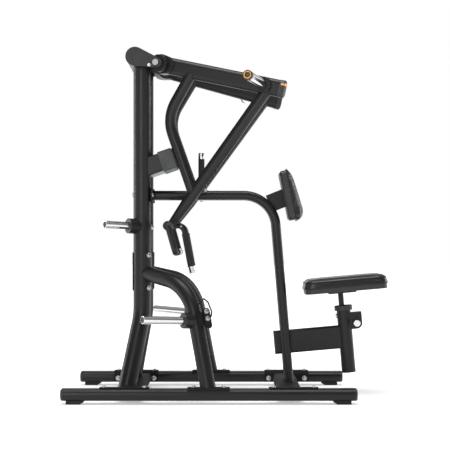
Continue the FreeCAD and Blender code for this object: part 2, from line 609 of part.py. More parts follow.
backing = box("backing_block", ("backing_thick", "pad_wide" + inset, "pad_tall" + inset),
              pad_middle - pad_out * (val("backing_thick") / 2), pad_rotation)
backing = rounded("backing_corners", backing, 30, along(pad_out))
doc.recompute()
backing_bevel = doc.addObject("Part::Chamfer", "backing_bevel")
backing_bevel.Base = backing
rear_plane = pad_middle - pad_out * val("backing_thick")
backing_bevel.Edges = [(i, 10, 10) for i, edge in enumerate(backing.Shape.Edges, start=1)
                       if abs((edge.CenterOfMass - rear_plane).dot(pad_out)) < 0.1]
node("chest_pad_backing", backing_bevel)
cushion = box("cushion_block", ("pad_thick", "pad_wide", "pad_tall"),
              pad_middle + pad_out * (val("pad_thick") / 2),
              pad_rotation)
cushion = rounded("cushion_corners", cushion, 34, along(pad_out))
front_plane = pad_middle + pad_out * val("pad_thick")
node("chest_pad_cushion", rounded("cushion_round", cushion, 22,
                                  lambda edge: abs((edge.CenterOfMass - front_plane).dot(pad_out)) < 0.1))

base_top = val("chest_up") + val("chest_rad") + val("post_base_tall")
post_base = box("post_base", ("post_base_long", "chest_y + chest_y + 30", "post_base_tall + 14"),
                V(val("post_x"), 0, base_top - (val("post_base_tall") + 14) / 2))
post_base = cut("post_base_cut", post_base, chest_solids["left"], chest_solids["right"])
post = cylinder("post_tube", "post_rad", "post_up - %s" % (base_top - 1),
                V(val("post_x"), 0, base_top - 1), Z_AXIS)
node("centre_handle", fuse("post_all", post_base, post))

# ---------------------------------------------------------------- arms
fall = math.radians(val("arm_fall"))


def arm_spot(side, reach, up, out=0.0):
    """A point in one arm's own plane: forward from the pivot, at a height, and off to the outer side."""
    pivot = pivots[side]
    return V(pivot.x, pivot.y, up) + forwards[side] * reach + outwards[side] * out


def tube_up(reach):
    """Height of the top tube's middle line."""
    return val("pivot_up") - reach * math.tan(fall)


for side, sign in SIDES.items():
    pivot, outward, forward = pivots[side], outwards[side], forwards[side]
    tube_dir = forward * math.cos(fall) - Z_AXIS * math.sin(fall)
    tube_top = forward * math.sin(fall) + Z_AXIS * math.cos(fall)
    bush_outer = "shaft_rad + bush_gap + bush_wall"
    hub_from = pivot - outward * val("hub_in")
    hub_solid = cylinder("hub_solid_" + side, "hub_rad", "hub_in + hub_out", hub_from, outward)
    hub_bore = cylinder("hub_bore_" + side, bush_outer, "hub_in + hub_out", hub_from, outward)
    hub_round = rounded("hub_round_" + side, hub_solid, 2, along_rims)
    hub_plate = padded("hub_plate_" + side,
                       lambda sketch: pear_outline(sketch, val("hub_plate_rad"), val("hub_nose_rad"),
                                                   val("hub_nose_reach")), "hub_plate_wide")
    hub_plate.Placement = FreeCAD.Placement(pivot - outward * (sign * val("hub_plate_wide") / 2),
                                            turn(outward * sign, tube_dir))
    node("hub_" + side, cut("hub_cut_" + side, fuse("hub_all_" + side, hub_round, hub_plate), hub_bore))
    bushes = []
    for at in (-val("hub_in"), val("hub_out") - val("bush_long")):
        shell = cylinder("bush_shell", bush_outer, "bush_long", pivot + outward * at, outward)
        hole = cylinder("bush_hole", "shaft_rad + bush_gap", "bush_long", pivot + outward * at, outward)
        bushes.append(cut("bush_" + side, shell, hole))
    node("hub_bushes_" + side, group("bush_pair_" + side, *bushes))

    tube_solid = flat_oval("top_solid_" + side, "arm_tall", "arm_wide", "arm_end", pivot, tube_dir, tube_top)
    tube = flat_oval("top_shell_" + side, "arm_tall", "arm_wide", "arm_end", pivot, tube_dir, tube_top,
                     "arm_wall")
    node("top_tube_" + side, cut("top_tube_cut_" + side, tube, hub_solid, hub_plate))
    above = doc.addObject("Part::Box", "above_tube_" + side)
    above.Length, above.Width, above.Height = 900, 200, 400
    low_side = val("arm_tall") / 2 - val("arm_wide") / 2
    above.Placement = FreeCAD.Placement(pivot - tube_top * low_side - outward * 100 * sign,
                                        turn(tube_top, tube_dir))

    bar_in = V(val("handle_x"), sign * val("bar_in_y"), val("handle_up"))
    cross = cylinder("handle_cross_" + side, "cross_bar_rad", "bar_out_y - bar_in_y", bar_in, Y_AXIS * sign)
    low = arm_spot(side, val("front_low_reach"), val("front_low_up"))
    top = arm_spot(side, val("front_top_reach"), val("front_top_up"))
    climb = (top - low).normalize()
    straight_from = low + climb * val("front_taper")
    long = (top - straight_from).Length
    tip = doc.addObject("Part::Cone", "front_tip_" + side)
    bind(tip, Radius1="front_tip_rad", Radius2="front_rad", Height="front_taper")
    tip.Placement = FreeCAD.Placement(low, turn(climb))
    front_bar = cylinder("front_bar_" + side, "front_rad", long, straight_from, climb)
    front_bore = cylinder("front_bore_" + side, "front_rad - strut_wall", long, straight_from, climb)
    front_solid = fuse("front_solid_" + side, tip, front_bar)
    node("front_strut_" + side, cut("front_strut_cut_" + side, front_solid, front_bore, above, tube_solid,
                                    cross))

    points = [arm_spot(side, val("rear_top_reach"), tube_up(val("rear_top_reach"))),
              arm_spot(side, val("rear_knee_reach"), val("rear_knee_up")),
              arm_spot(side, val("rear_low_reach"), val("rear_low_up"))]
    node("rear_strut_" + side, bent_tube("rear_strut_cut_" + side, points, val("rear_bend_rad"), "strut_rad",
                                         "strut_wall", [above, tube_solid, front_solid]))

    lift = math.radians(val("horn_lift"))
    horn_dir = outward * math.cos(lift) + Z_AXIS * math.sin(lift)
    root = arm_spot(side, val("horn_reach"), tube_up(val("horn_reach")))
    horn_from = root + horn_dir * val("collar_out")
    horn_to = horn_from + horn_dir * val("horn_long")
    horn = cylinder("horn_solid_" + side, "horn_rad", "horn_long", horn_from, horn_dir)
    horn_bore = cylinder("horn_bore_" + side, "horn_rad - horn_wall", "horn_long", horn_from, horn_dir)
    node("loading_horn_" + side, cut("horn_" + side, horn, horn_bore))
    outer = cylinder("collar_outer_" + side, "collar_rad", "collar_out - 20", root + horn_dir * 20, horn_dir)
    outer = rounded("collar_round_" + side, outer, 4, end_rim(horn_from, horn_dir))
    inner = cylinder("collar_inner_" + side, "inner_collar_rad", "collar_in - 20",
                     root - horn_dir * val("collar_in"), horn_dir)
    outer = cut("collar_out_cut_" + side, outer, tube_solid, front_solid)
    inner = cut("collar_in_cut_" + side, inner, tube_solid, front_solid)
    node("horn_collar_" + side, group("collar_pair_" + side, outer, inner))
    horn_cap = cylinder("horn_cap_" + side, "horn_cap_rad", "horn_cap_long", horn_to, horn_dir)
    horn_end = horn_to + horn_dir * val("horn_cap_long")
    tube_end = pivot + tube_dir * val("arm_end")
    tube_cap = flat_oval("tube_cap_" + side, "arm_cap_tall", "arm_cap_wide", "arm_cap_long", tube_end, tube_dir,
                         tube_top)
    cap_end = tube_end + tube_dir * val("arm_cap_long")
    tube_cap = rounded("tube_cap_round_" + side, tube_cap, 9,
                       lambda edge, cap_end=cap_end, tube_dir=tube_dir:
                       abs((edge.CenterOfMass - cap_end).dot(tube_dir)) < 0.5)
    horn_cap = rounded("horn_cap_round_" + side, horn_cap, 5, end_rim(horn_end, horn_dir))
    node("arm_end_caps_" + side, group("arm_caps_" + side, tube_cap, horn_cap))

    inner_path = [bar_in, arm_spot(side, val("inner_knee_reach"), val("handle_up"), -val("inner_knee_in")),
                  arm_spot(side, val("inner_low_reach"), val("inner_low_up"), -val("inner_low_in"))]
    inner_tube = bent_tube("inner_tube_" + side, inner_path, val("handle_bend_rad"), "handle_rad",
                           "handle_wall")
    hang = (inner_path[2] - inner_path[1]).normalize()
    elbow = doc.addObject("Part::Sphere", "elbow_" + side)
    bind(elbow, Radius="cross_bar_rad")
    elbow.Placement = FreeCAD.Placement(bar_in, FreeCAD.Rotation())
    boss_from = V(val("end_boss_x"), sign * (val("bar_out_y") - val("end_boss_long") / 2), val("end_boss_up"))
    end_boss = cylinder("end_boss_" + side, "end_boss_rad", "end_boss_long", boss_from, Y_AXIS * sign)
    outer_path = [V(val("end_boss_x"), sign * val("outer_y"), val("end_boss_up")),
                  V(val("outer_corner_x"), sign * val("outer_y"), val("outer_corner_up")),
                  V(val("outer_end_x"), sign * val("outer_end_y"), val("outer_corner_up"))]
    outer_tube = bent_tube("outer_tube_" + side, outer_path, val("outer_bend_rad"), "handle_rad")
    outer_end = outer_path[2]
    outer_dir = (outer_end - outer_path[1]).normalize()
    outer_long = (outer_end - outer_path[1]).Length
    handle = fuse("handle_frame_fused_" + side, cross, elbow, inner_tube, end_boss, outer_tube)
    node("handle_frame_" + side, handle)
    sleeve = cylinder("outer_sleeve_" + side, "outer_grip_rad", outer_long - val("outer_sleeve_from"),
                      outer_path[1] + outer_dir * val("outer_sleeve_from"), outer_dir)
    inner_from = inner_path[1] + hang * val("inner_sleeve_from")
    inner_long = (inner_path[2] - inner_from).Length
    inner_sleeve = cylinder("inner_sleeve_" + side, "inner_grip_rad", inner_long, inner_from, hang)
    node("grips_" + side, group("grip_pair_" + side, cut("outer_grip_" + side, sleeve, handle),
                                cut("inner_grip_" + side, inner_sleeve, handle)))
    inner_cap = cylinder("inner_cap_" + side, "inner_grip_rad", "inner_cap_long", inner_path[2], hang)
    inner_cap = rounded("inner_cap_round_" + side, inner_cap, 6,
                        end_rim(inner_path[2] + hang * val("inner_cap_long"), hang))
    outer_cap = cylinder("outer_cap_" + side, "outer_grip_rad", "outer_cap_long", outer_end, outer_dir)
    outer_cap = rounded("outer_cap_round_" + side, outer_cap, 2,
                        end_rim(outer_end + outer_dir * val("outer_cap_long"), outer_dir))
    node("grip_caps_" + side, group("grip_cap_pair_" + side, inner_cap, outer_cap))

# ---------------------------------------------------------------- seat
seat_lean = math.radians(val("seat_lean"))
seat_up = V(-math.sin(seat_lean), 0, math.cos(seat_lean))
seat_fwd = V(math.cos(seat_lean), 0, math.sin(seat_lean))
seat_root = V(val("seat_post_x"), 0, val("seat_post_up"))
seat_rotation = turn(seat_up, seat_fwd)


def seat_spot(forward, up, across=0.0):
    """A point in the leaning seat post's own frame."""
    return seat_root + seat_fwd * forward + seat_up * up + Y_AXIS * across


post_low = seat_spot(0, val("seat_post_low"))
post_long = "seat_post_high - seat_post_low"
post_solid = cylinder("seat_post_solid", "seat_post_rad", post_long, post_low, seat_up)
post_bore = cylinder("seat_post_bore", "seat_post_rad - seat_post_wall", post_long, post_low, seat_up)
latch_at = V(val("latch_x"), 0, val("latch_up")) - seat_root
latch_fwd, latch_high = latch_at.dot(seat_fwd), latch_at.dot(seat_up)
pin_hole = cylinder("latch_pin_hole", "latch_pin_rad + latch_gap", 60, seat_spot(0, latch_high), seat_fwd)
node("seat_post", cut("seat_post_cut", post_solid, post_bore, pin_hole))
collar_low = seat_spot(0, val("seat_post_high"))
collar = cylinder("bush_collar", "bush_rad", "bush_tall", collar_low, seat_up)
collar = rounded("bush_collar_round", collar, 5, end_rim(collar_low + seat_up * val("bush_tall"), seat_up))
plug = cylinder("bush_plug_part", "seat_post_rad - seat_post_wall", "bush_plug",
                collar_low - seat_up * val("bush_plug"), seat_up)
stem_foot = seat_spot(-val("stem_shift"), val("stem_low"))
stem_long = "stem_high - stem_low"
stem_room = cylinder("stem_room", "stem_rad + stem_gap", stem_long, stem_foot, seat_up)
node("seat_post_bush", cut("seat_bush_cut", fuse("seat_bush_body", collar, plug), stem_room))

beam_root = V(val("beam_start"), 0, val("beam_up"))
beam_long = val("beam_end") - val("beam_start")
beam_rotation = turn(seat_up, seat_fwd)
beam_middle = beam_root + seat_fwd * (beam_long / 2)
beam = box("beam_block", (beam_long, "beam_wide", "beam_deep"), beam_middle, beam_rotation)
beam_round = rounded("beam_round", beam, 12, along(seat_fwd))
bore_size = (beam_long, "beam_wide - beam_wall - beam_wall", "beam_deep - beam_wall - beam_wall")
beam_bore = box("beam_bore", bore_size,
                beam_middle + seat_fwd * val("beam_wall"), beam_rotation)
beam_bore = rounded("beam_bore_round", beam_bore, 8, along(seat_fwd))
node("seat_beam", cut("seat_beam_cut", beam_round, beam_bore, post_solid))

stem = cylinder("stem_rod", "stem_rad", stem_long, stem_foot, seat_up)
flange_mid = seat_spot(0, val("stem_high") + 5)
stem_flange = box("stem_flange", (150, 110, 11), flange_mid, seat_rotation)
node("seat_stem", fuse("seat_stem_all", stem, stem_flange))
seat_shift = val("seat_shift")
plate_low = val("stem_high") + 10.5
plate_size = ("seat_long - seat_inset - seat_inset", "seat_wide - seat_inset - seat_inset", "seat_plate_thick")
seat_plate = box("seat_plate_block", plate_size, seat_spot(seat_shift, plate_low + val("seat_plate_thick") / 2),
                 seat_rotation)
node("seat_plate", rounded("seat_plate_round", seat_plate, 50, along(seat_up)))
cushion_low = plate_low + val("seat_plate_thick")
seat_block = box("seat_cushion_block", ("seat_long", "seat_wide", "seat_thick"),
                 seat_spot(seat_shift, cushion_low + val("seat_thick") / 2), seat_rotation)
seat_block = rounded("seat_cushion_corners", seat_block, 60, along(seat_up))
seat_top = seat_spot(0, cushion_low + val("seat_thick"))
node("seat_cushion", rounded("seat_cushion_round", seat_block, 24,
                             lambda edge: abs((edge.CenterOfMass - seat_top).dot(seat_up)) < 0.1))

slot_tall = "latch_core_rad + latch_core_rad + latch_gap + latch_gap"
slot = box("latch_slot", (val("latch_travel") + 2 * (val("latch_core_rad") + val("latch_gap")), 200, slot_tall),
           seat_spot(latch_fwd + val("latch_travel") / 2, latch_high), seat_rotation)
cheeks = []
cheek_from, cheek_low = 20, latch_high - val("latch_round")
cheek_long = latch_fwd + val("latch_round") - cheek_from
for side, sign in SIDES.items():
    cheek = box("latch_cheek_" + side, (cheek_long, "latch_thick", "latch_tall"),
                seat_spot(cheek_from + cheek_long / 2, cheek_low + val("latch_tall") / 2,
                          sign * (val("latch_half") - val("latch_thick") / 2)), seat_rotation)
    corner = seat_spot(cheek_from + cheek_long, cheek_low)
    cheeks.append(rounded("latch_cheek_round_" + side, cheek, val("latch_round") - 1,
                          lambda edge, corner=corner: abs((edge.CenterOfMass - corner).dot(seat_fwd)) < 0.1
                          and abs((edge.CenterOfMass - corner).dot(seat_up)) < 0.1))
bridge = box("latch_bridge", (cheek_long, "latch_half + latch_half - latch_thick", "latch_thick"),
             seat_spot(cheek_from + cheek_long / 2, cheek_low + val("latch_tall") - val("latch_thick") / 2),
             seat_rotation)
latch_bracket = fuse("latch_bracket_all", bridge, *cheeks)
node("seat_latch_bracket", cut("latch_bracket_cut", latch_bracket, post_solid, slot))
core = cylinder("latch_core", "latch_core_rad", "latch_bar_half + latch_bar_half",
                seat_spot(latch_fwd, latch_high, -val("latch_bar_half")), Y_AXIS)
knobs = []
for side, sign in SIDES.items():
    start = seat_spot(latch_fwd, latch_high, sign * (val("latch_half") + 0.5))
    knob = cylinder("latch_knob_" + side, "latch_bar_rad", "latch_bar_half - latch_half - 0.5", start,
                    Y_AXIS * sign)
    knobs.append(rounded("latch_knob_round_" + side, knob, 3,
                         end_rim(seat_spot(latch_fwd, latch_high, sign * val("latch_bar_half")), Y_AXIS)))
latch_handle = fuse("latch_handle_all", core, *knobs)
node("seat_latch_handle", latch_handle)
tip_at = val("stem_rad") - val("stem_shift") + 0.3
pin = cylinder("latch_pin_rod", "latch_pin_rad", latch_fwd - tip_at, seat_spot(tip_at, latch_high), seat_fwd)
node("seat_latch_pin", cut("latch_pin_cut", pin, latch_handle))
bolts.append(bolt("post_bolt", seat_spot(-val("seat_post_rad"), 132), seat_fwd * -1))

# ---------------------------------------------------------------- accessory hook on the left arch
knee = V(val("arch_start_x"), -val("arch_start_y"), 0)
plan = V(val("arch_foot_x") - knee.x, -rail_y - knee.y, 0).normalize()
knee = knee + plan * val("arch_knee_reach") + Z_AXIS * val("arch_knee_up")
leg_up = (knee - V(val("arch_foot_x"), -rail_y, val("arch_foot_up"))).normalize()
on_leg = knee + leg_up * ((val("lower_store_up") - knee.z) / leg_up.z)
across = V(0.866, 0.5, 0)
facing = leg_up.cross(across).normalize() * -1
if facing.y > 0:
    facing = facing * -1
across = facing.cross(leg_up).normalize()
if across.x < 0:
    across = across * -1
hook_rotation = turn(leg_up, across)
face = on_leg + facing * (val("arch_rad") + val("hook_strap_thick") / 2)
strap = box("hook_strap", (70, "hook_strap_thick", 70), face + across * 24, hook_rotation)
block_mid = on_leg + facing * (val("arch_rad") + val("hook_thick") / 2) + across * 42
block = box("hook_block", ("hook_wide", "hook_thick", "hook_tall"), block_mid, hook_rotation)
block = rounded("hook_block_round", block, 17, along(facing))
wire_shape = ((-20, 84, -18), (-20, 84, 2), (0, 106, 2), (22, 84, 2), (34, 32, 2), (26, 8, 2), (8, 2, 0))
wire_points = [block_mid + across * dx + leg_up * dz + facing * out for dx, dz, out in wire_shape]
wire = bent_tube("hook_wire", wire_points, 7, "hook_wire_rad")
for dz in (36, -2):
    bolts.append(bolt("hook_bolt", block_mid + facing * (val("hook_thick") / 2) + leg_up * dz, facing))
hook = fuse("hook_all", strap, block, wire)
node("accessory_hook", cut("hook_cut", hook, boss_solids["left", "lower"]))

# ---------------------------------------------------------------- fasteners and export
node("frame_bolts", group("bolt_group", *bolts))
doc.recompute()
bad = [obj.Name for obj in doc.Objects if "Invalid" in obj.State or "Error" in obj.State]
bad += [name for name, obj in nodes.items() if obj.Shape.isNull() or not obj.Shape.isValid()]
if bad:
    raise RuntimeError("did not build: " + ", ".join(bad))
os.makedirs("parts", exist_ok=True)
low, high = [1e9] * 3, [-1e9] * 3
for name, obj in nodes.items():
    obj.Shape.exportStep("parts/%s.step" % name)
    bounds = obj.Shape.optimalBoundingBox()
    low = [min(a, b) for a, b in zip(low, (bounds.XMin, bounds.YMin, bounds.ZMin))]
    high = [max(a, b) for a, b in zip(high, (bounds.XMax, bounds.YMax, bounds.ZMax))]
print("%d nodes, from %s to %s" % (len(nodes), low, high))
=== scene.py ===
"""Looks for the plate-loaded low row: finishes for the metal frame, and the soft and small pieces on it.

Metres. +X points towards the seat, +Z is up, and the user's left is -Y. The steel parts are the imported
frame's own nodes. The cushions, grips and bolt heads are built here and stand for their plain solids.
"""
import json
import math

import bmesh
import bpy
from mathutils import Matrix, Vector, noise
from mathutils.bvhtree import BVHTree


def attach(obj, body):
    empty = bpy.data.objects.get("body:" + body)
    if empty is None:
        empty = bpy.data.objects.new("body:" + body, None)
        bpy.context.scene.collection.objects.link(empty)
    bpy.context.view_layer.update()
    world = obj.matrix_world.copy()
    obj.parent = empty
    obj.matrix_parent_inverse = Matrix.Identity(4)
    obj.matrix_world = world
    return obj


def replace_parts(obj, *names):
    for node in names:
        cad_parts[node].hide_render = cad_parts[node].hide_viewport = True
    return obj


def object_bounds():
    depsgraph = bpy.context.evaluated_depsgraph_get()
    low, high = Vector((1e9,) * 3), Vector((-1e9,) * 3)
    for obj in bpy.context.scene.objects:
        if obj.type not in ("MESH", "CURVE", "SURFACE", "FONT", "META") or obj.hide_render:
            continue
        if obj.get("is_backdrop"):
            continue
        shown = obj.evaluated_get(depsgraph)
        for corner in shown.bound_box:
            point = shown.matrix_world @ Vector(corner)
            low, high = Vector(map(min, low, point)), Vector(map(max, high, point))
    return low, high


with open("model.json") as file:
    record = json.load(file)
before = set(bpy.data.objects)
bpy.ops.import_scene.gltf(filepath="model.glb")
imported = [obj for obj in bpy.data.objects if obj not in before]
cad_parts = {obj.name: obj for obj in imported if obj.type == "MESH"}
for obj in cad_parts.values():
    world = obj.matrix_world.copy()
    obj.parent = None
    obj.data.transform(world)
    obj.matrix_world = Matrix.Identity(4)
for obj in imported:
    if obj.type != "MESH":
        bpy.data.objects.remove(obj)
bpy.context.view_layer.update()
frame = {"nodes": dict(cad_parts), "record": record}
NODES = frame["nodes"]
MM = 0.001
X_AXIS, Y_AXIS, Z_AXIS = Vector((1, 0, 0)), Vector((0, 1, 0)), Vector((0, 0, 1))
SIDES = {"left": -1, "right": 1}

# ---------------------------------------------------------------- camera
CAMERA_AT = Vector((0.006, -7.58, 0.845))
camera = bpy.data.objects.new("camera", bpy.data.cameras.new("camera"))
bpy.context.scene.collection.objects.link(camera)
camera.location = CAMERA_AT
camera.rotation_euler = (math.radians(90), 0, 0)
camera.data.lens = 110.25
camera.data.sensor_width = 36
camera.data.shift_x, camera.data.shift_y = -0.0111, 0.0333
camera.data.clip_end = 200
bpy.context.scene.camera = camera


# ---------------------------------------------------------------- materials
class Surface:
    """A material under construction: a Principled shader and short calls for the nodes that feed it."""

    def __init__(self, name, **sockets):
        self.material = bpy.data.materials.new(name)
        self.material.use_nodes = True
        self.tree = self.material.node_tree
        self.shader = self.tree.nodes["Principled BSDF"]
        for socket, value in sockets.items():
            self.shader.inputs[socket.replace("_", " ")].default_value = value
        self.place = self.tree.nodes.new("ShaderNodeTexCoord").outputs["Object"]

    def node(self, kind, **values):
        made = self.tree.nodes.new("ShaderNode" + kind)
        for socket, value in values.items():
            socket = socket.replace("_", " ")
            if hasattr(value, "is_linked"):
                self.tree.links.new(value, made.inputs[socket])
            else:
                made.inputs[socket].default_value = value
        return made

    def noise(self, scale, detail=3.0, stretch=None):
        vector = self.place
        if stretch:
            vector = self.node("Mapping", Vector=self.place, Scale=stretch).outputs[0]
        return self.node("TexNoise", Vector=vector, Scale=scale, Detail=detail).outputs[0]

    def ramp(self, value, low, high, start=0.3, end=0.7):
        """A number that follows value from low to high."""
        return self.node("MapRange", Value=value, From_Min=start, From_Max=end, To_Min=low, To_Max=high).outputs[0]

    def colour(self, value, first, second):
        """The base colour, from first to second as value goes from 0.3 to 0.7."""
        steps = self.tree.nodes.new("ShaderNodeValToRGB")
        self.tree.links.new(value, steps.inputs[0])
        for stop, at, tint in zip(steps.color_ramp.elements, (0.3, 0.7), (first, second)):
            stop.position, stop.color = at, (*tint, 1)
        self.link(steps.outputs[0], "Base Color")

    def bump(self, height, strength, depth, under=None):
        made = self.node("Bump", Strength=strength, Distance=depth, Height=height)
        if under:
            self.tree.links.new(under, made.inputs["Normal"])
        self.link(made.outputs[0], "Normal")
        return made.outputs[0]

    def link(self, output, socket):
        self.tree.links.new(output, self.shader.inputs[socket])


def grey(value, warmth=0.0):
    """A grey, made redder and less blue by warmth."""
    return (value * (1 + warmth), value, value * (1 - warmth))


def powder_coat(name, gloss, rough):
    made = Surface(name, Specular_IOR_Level=gloss)
    made.colour(made.noise(2.6, 5), grey(0.0070), grey(0.0095, -0.02))
    made.link(made.ramp(made.noise(9, 4), rough, rough + 0.09), "Roughness")
    broad = made.bump(made.noise(240, 2), 0.10, 0.0004)
    made.bump(made.noise(1300, 1), 0.16, 0.00015, broad)
    return made.material


def moulded_plastic(name, tone, rough, warmth=0.0):
    made = Surface(name, Specular_IOR_Level=0.4)
    made.colour(made.noise(14, 4), grey(tone * 0.85, warmth), grey(tone * 1.15, warmth))
    made.link(made.ramp(made.noise(40, 3), rough - 0.05, rough + 0.06), "Roughness")
    made.bump(made.noise(1600, 2), 0.12, 0.0001)
    return made.material


def rubber():
    made = Surface("rubber", Specular_IOR_Level=0.3)
    made.colour(made.noise(30, 5), grey(0.013), grey(0.021, 0.02))
    made.link(made.ramp(made.noise(90, 3), 0.62, 0.78), "Roughness")
    made.bump(made.noise(900, 3), 0.4, 0.0002)
    return made.material


def vinyl():
    made = Surface("vinyl", Specular_IOR_Level=0.42, Sheen_Weight=0.06, Sheen_Roughness=0.4)
    made.colour(made.noise(7, 4), grey(0.0075), grey(0.0115))
    made.link(made.ramp(made.noise(22, 3), 0.28, 0.37), "Roughness")
    cells = made.node("TexVoronoi", Vector=made.place, Scale=420.0)
    cells.feature = "DISTANCE_TO_EDGE"
    creases = made.ramp(cells.outputs[0], 0.0, 1.0, 0.0, 0.12)
    grain = made.bump(creases, 0.22, 0.00025)
    made.bump(made.noise(55, 4), 0.12, 0.0012, grain)
    return made.material


def plated(name, tone, rough, stretch, bump):
    made = Surface(name, Metallic=1.0)
    made.colour(made.noise(30, 3), grey(tone * 0.94), grey(tone))
    lines = made.noise(60, 4, stretch)
    made.link(made.ramp(lines, rough * 0.7, rough * 1.35), "Roughness")
    made.bump(lines, bump, 0.0001)
    return made.material


def accent():
    made = Surface("accent_orange", Specular_IOR_Level=0.5)
    made.colour(made.noise(60, 3), (0.80, 0.30, 0.012), (0.95, 0.40, 0.02))
    made.link(made.ramp(made.noise(90, 2), 0.28, 0.4), "Roughness")
    made.bump(made.noise(900, 2), 0.1, 0.0001)
    return made.material


FINISH = {
    "powder_black": powder_coat("powder_coat", 0.27, 0.31),
    "plastic_black": moulded_plastic("plastic_black", 0.020, 0.48),
    "plastic_grey": moulded_plastic("plastic_grey", 0.040, 0.55, -0.06),
    "rubber_black": rubber(),
    "vinyl_black": vinyl(),
    "chrome": plated("chrome", 0.66, 0.12, (1, 1, 1), 0.02),
    "zinc_steel": plated("zinc_steel", 0.50, 0.30, (1, 1, 8), 0.10),
    "accent": accent(),
    "seam": moulded_plastic("vinyl_seam", 0.004, 0.6),
    "powder_dull": powder_coat("powder_coat_low", 0.12, 0.58),
}
# finishes that the record has no slot of its own for
# low steelwork that looks duller than the rest of the frame
DULL_NODES = ("rear_crossmember", "front_crossmember", "rail_saddles", "chest_frame_flange")


def dress(obj, finish):
    """Gives an object one finish all over."""
    obj.data.materials.clear()
    obj.data.materials.append(FINISH[finish])


slot_of = {}
for material in frame["record"]["materials"]:
    for name in material.get("nodes", []):
        slot_of[name] = material["slot"]
for name, obj in NODES.items():
    slot = slot_of.get(name) or obj.data.materials[0].name
    dress(obj, slot if slot in FINISH else "powder_black")
dress(NODES["pivot_shafts"], "zinc_steel")
for name in DULL_NODES:
    dress(NODES[name], "powder_dull")


# ---------------------------------------------------------------- piece helpers
def piece(name, mesh, body, finish):
    """A new object made from a bmesh, on a body, with a finish."""
    data = bpy.data.meshes.new(name)
    bmesh.ops.recalc_face_normals(mesh, faces=mesh.faces)
    mesh.to_mesh(data)
    mesh.free()
    obj = bpy.data.objects.new(name, data)
    bpy.context.scene.collection.objects.link(obj)
    data.shade_smooth()
    data.set_sharp_from_angle(angle=math.radians(38))
    dress(obj, finish)
    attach(obj, body)
    return obj


def in_mm(*pairs):
    """(radius, height) pairs given in millimetres, as metres."""
    return [(radius * MM, height * MM) for radius, height in pairs]


def across(axis):
    """Two directions at right angles to axis."""
    side = axis.cross(Z_AXIS if abs(axis.z) < 0.9 else X_AXIS).normalized()
    return side, axis.cross(side).normalized()


def ring(mesh, centre, u, v, radius, count, corners=0):
    """Vertices on a circle, or on a polygon with that many corners."""
    out = []
    for k in range(count):
        angle = 2 * math.pi * k / count
        reach = radius
        if corners:
            sector = 2 * math.pi / corners
            reach = radius * math.cos(sector / 2) / math.cos((angle % sector) - sector / 2)
        out.append(mesh.verts.new(centre + u * math.cos(angle) * reach + v * math.sin(angle) * reach))
    return out


def bridge(mesh, first, second):
    """Faces between two closed loops of the same length."""
    for k in range(len(first)):
        n = (k + 1) % len(first)
        mesh.faces.new((first[k], first[n], second[n], second[k]))


def lid(mesh, loop):
    """Closes a loop with a fan of triangles."""
    centre = mesh.verts.new(sum((v.co for v in loop), Vector()) / len(loop))
    for k in range(len(loop)):
        mesh.faces.new((loop[k], loop[(k + 1) % len(loop)], centre))


def lathe(mesh, base, axis, profile, count=48, corners=()):
    """A closed turned shape; profile is (radius, height) pairs, and corners names the steps that are hexagons."""
    u, v = across(axis)
    loops = [ring(mesh, base + axis * h, u, v, r, count, 6 if k in corners else 0)
             for k, (r, h) in enumerate(profile)]
    for a, b in zip(loops, loops[1:]):
        bridge(mesh, a, b)
    lid(mesh, loops[0])
    lid(mesh, loops[-1])


def socket_bolt(mesh, base, axis, radius, tall):
    """A domed head on a thin washer, with a hexagon socket sunk in its top."""
    washer = radius * 1.28
    lathe(mesh, base - axis * 0.2 * MM, axis, [
        (washer, 0), (washer, 1.3 * MM), (washer - 0.4 * MM, 1.8 * MM), (radius, 1.8 * MM), (radius, tall * 0.5),
        (radius * 0.95, tall * 0.72), (radius * 0.82, tall * 0.9), (radius * 0.64, tall),
        (radius * 0.40, tall), (radius * 0.38, tall * 0.93), (radius * 0.38, tall * 0.42)], 36, (8, 9, 10))


def tube(mesh, path, radii, closed=False, count=12):
    """A round tube along path; radii is one radius or one for each point."""
    total = len(path)
    loops, side = [], None
    for k, point in enumerate(path):
        before = path[k - 1] if k or closed else point
        after = path[(k + 1) % total] if k < total - 1 or closed else point
        run = (after - before).normalized()
        if side is None:
            side, _ = across(run)
        side = (side - run * side.dot(run)).normalized()
        radius = radii[k] if isinstance(radii, list) else radii
        loops.append(ring(mesh, point, side, run.cross(side), radius, count))
    for a, b in zip(loops, loops[1:]):
        bridge(mesh, a, b)
    if closed:
        shift = min(range(count), key=lambda s: (loops[0][s].co - loops[-1][0].co).length)
        bridge(mesh, loops[-1], loops[0][shift:] + loops[0][:shift])
    else:
        lid(mesh, loops[0])
        lid(mesh, loops[-1])


def tree_of(obj):
    return BVHTree.FromPolygons([v.co.copy() for v in obj.data.vertices],
                                [tuple(p.vertices) for p in obj.data.polygons])


trees = {}


def strike(node, start, direction):
    """Where a ray from start meets a CAD node: (point, outward normal), or None."""
    if node not in trees:
        trees[node] = tree_of(NODES[node])
    point, normal, _, _ = trees[node].ray_cast(start, direction)
    if point is None:
        return None
    return point, (normal if normal.dot(direction) < 0 else -normal)


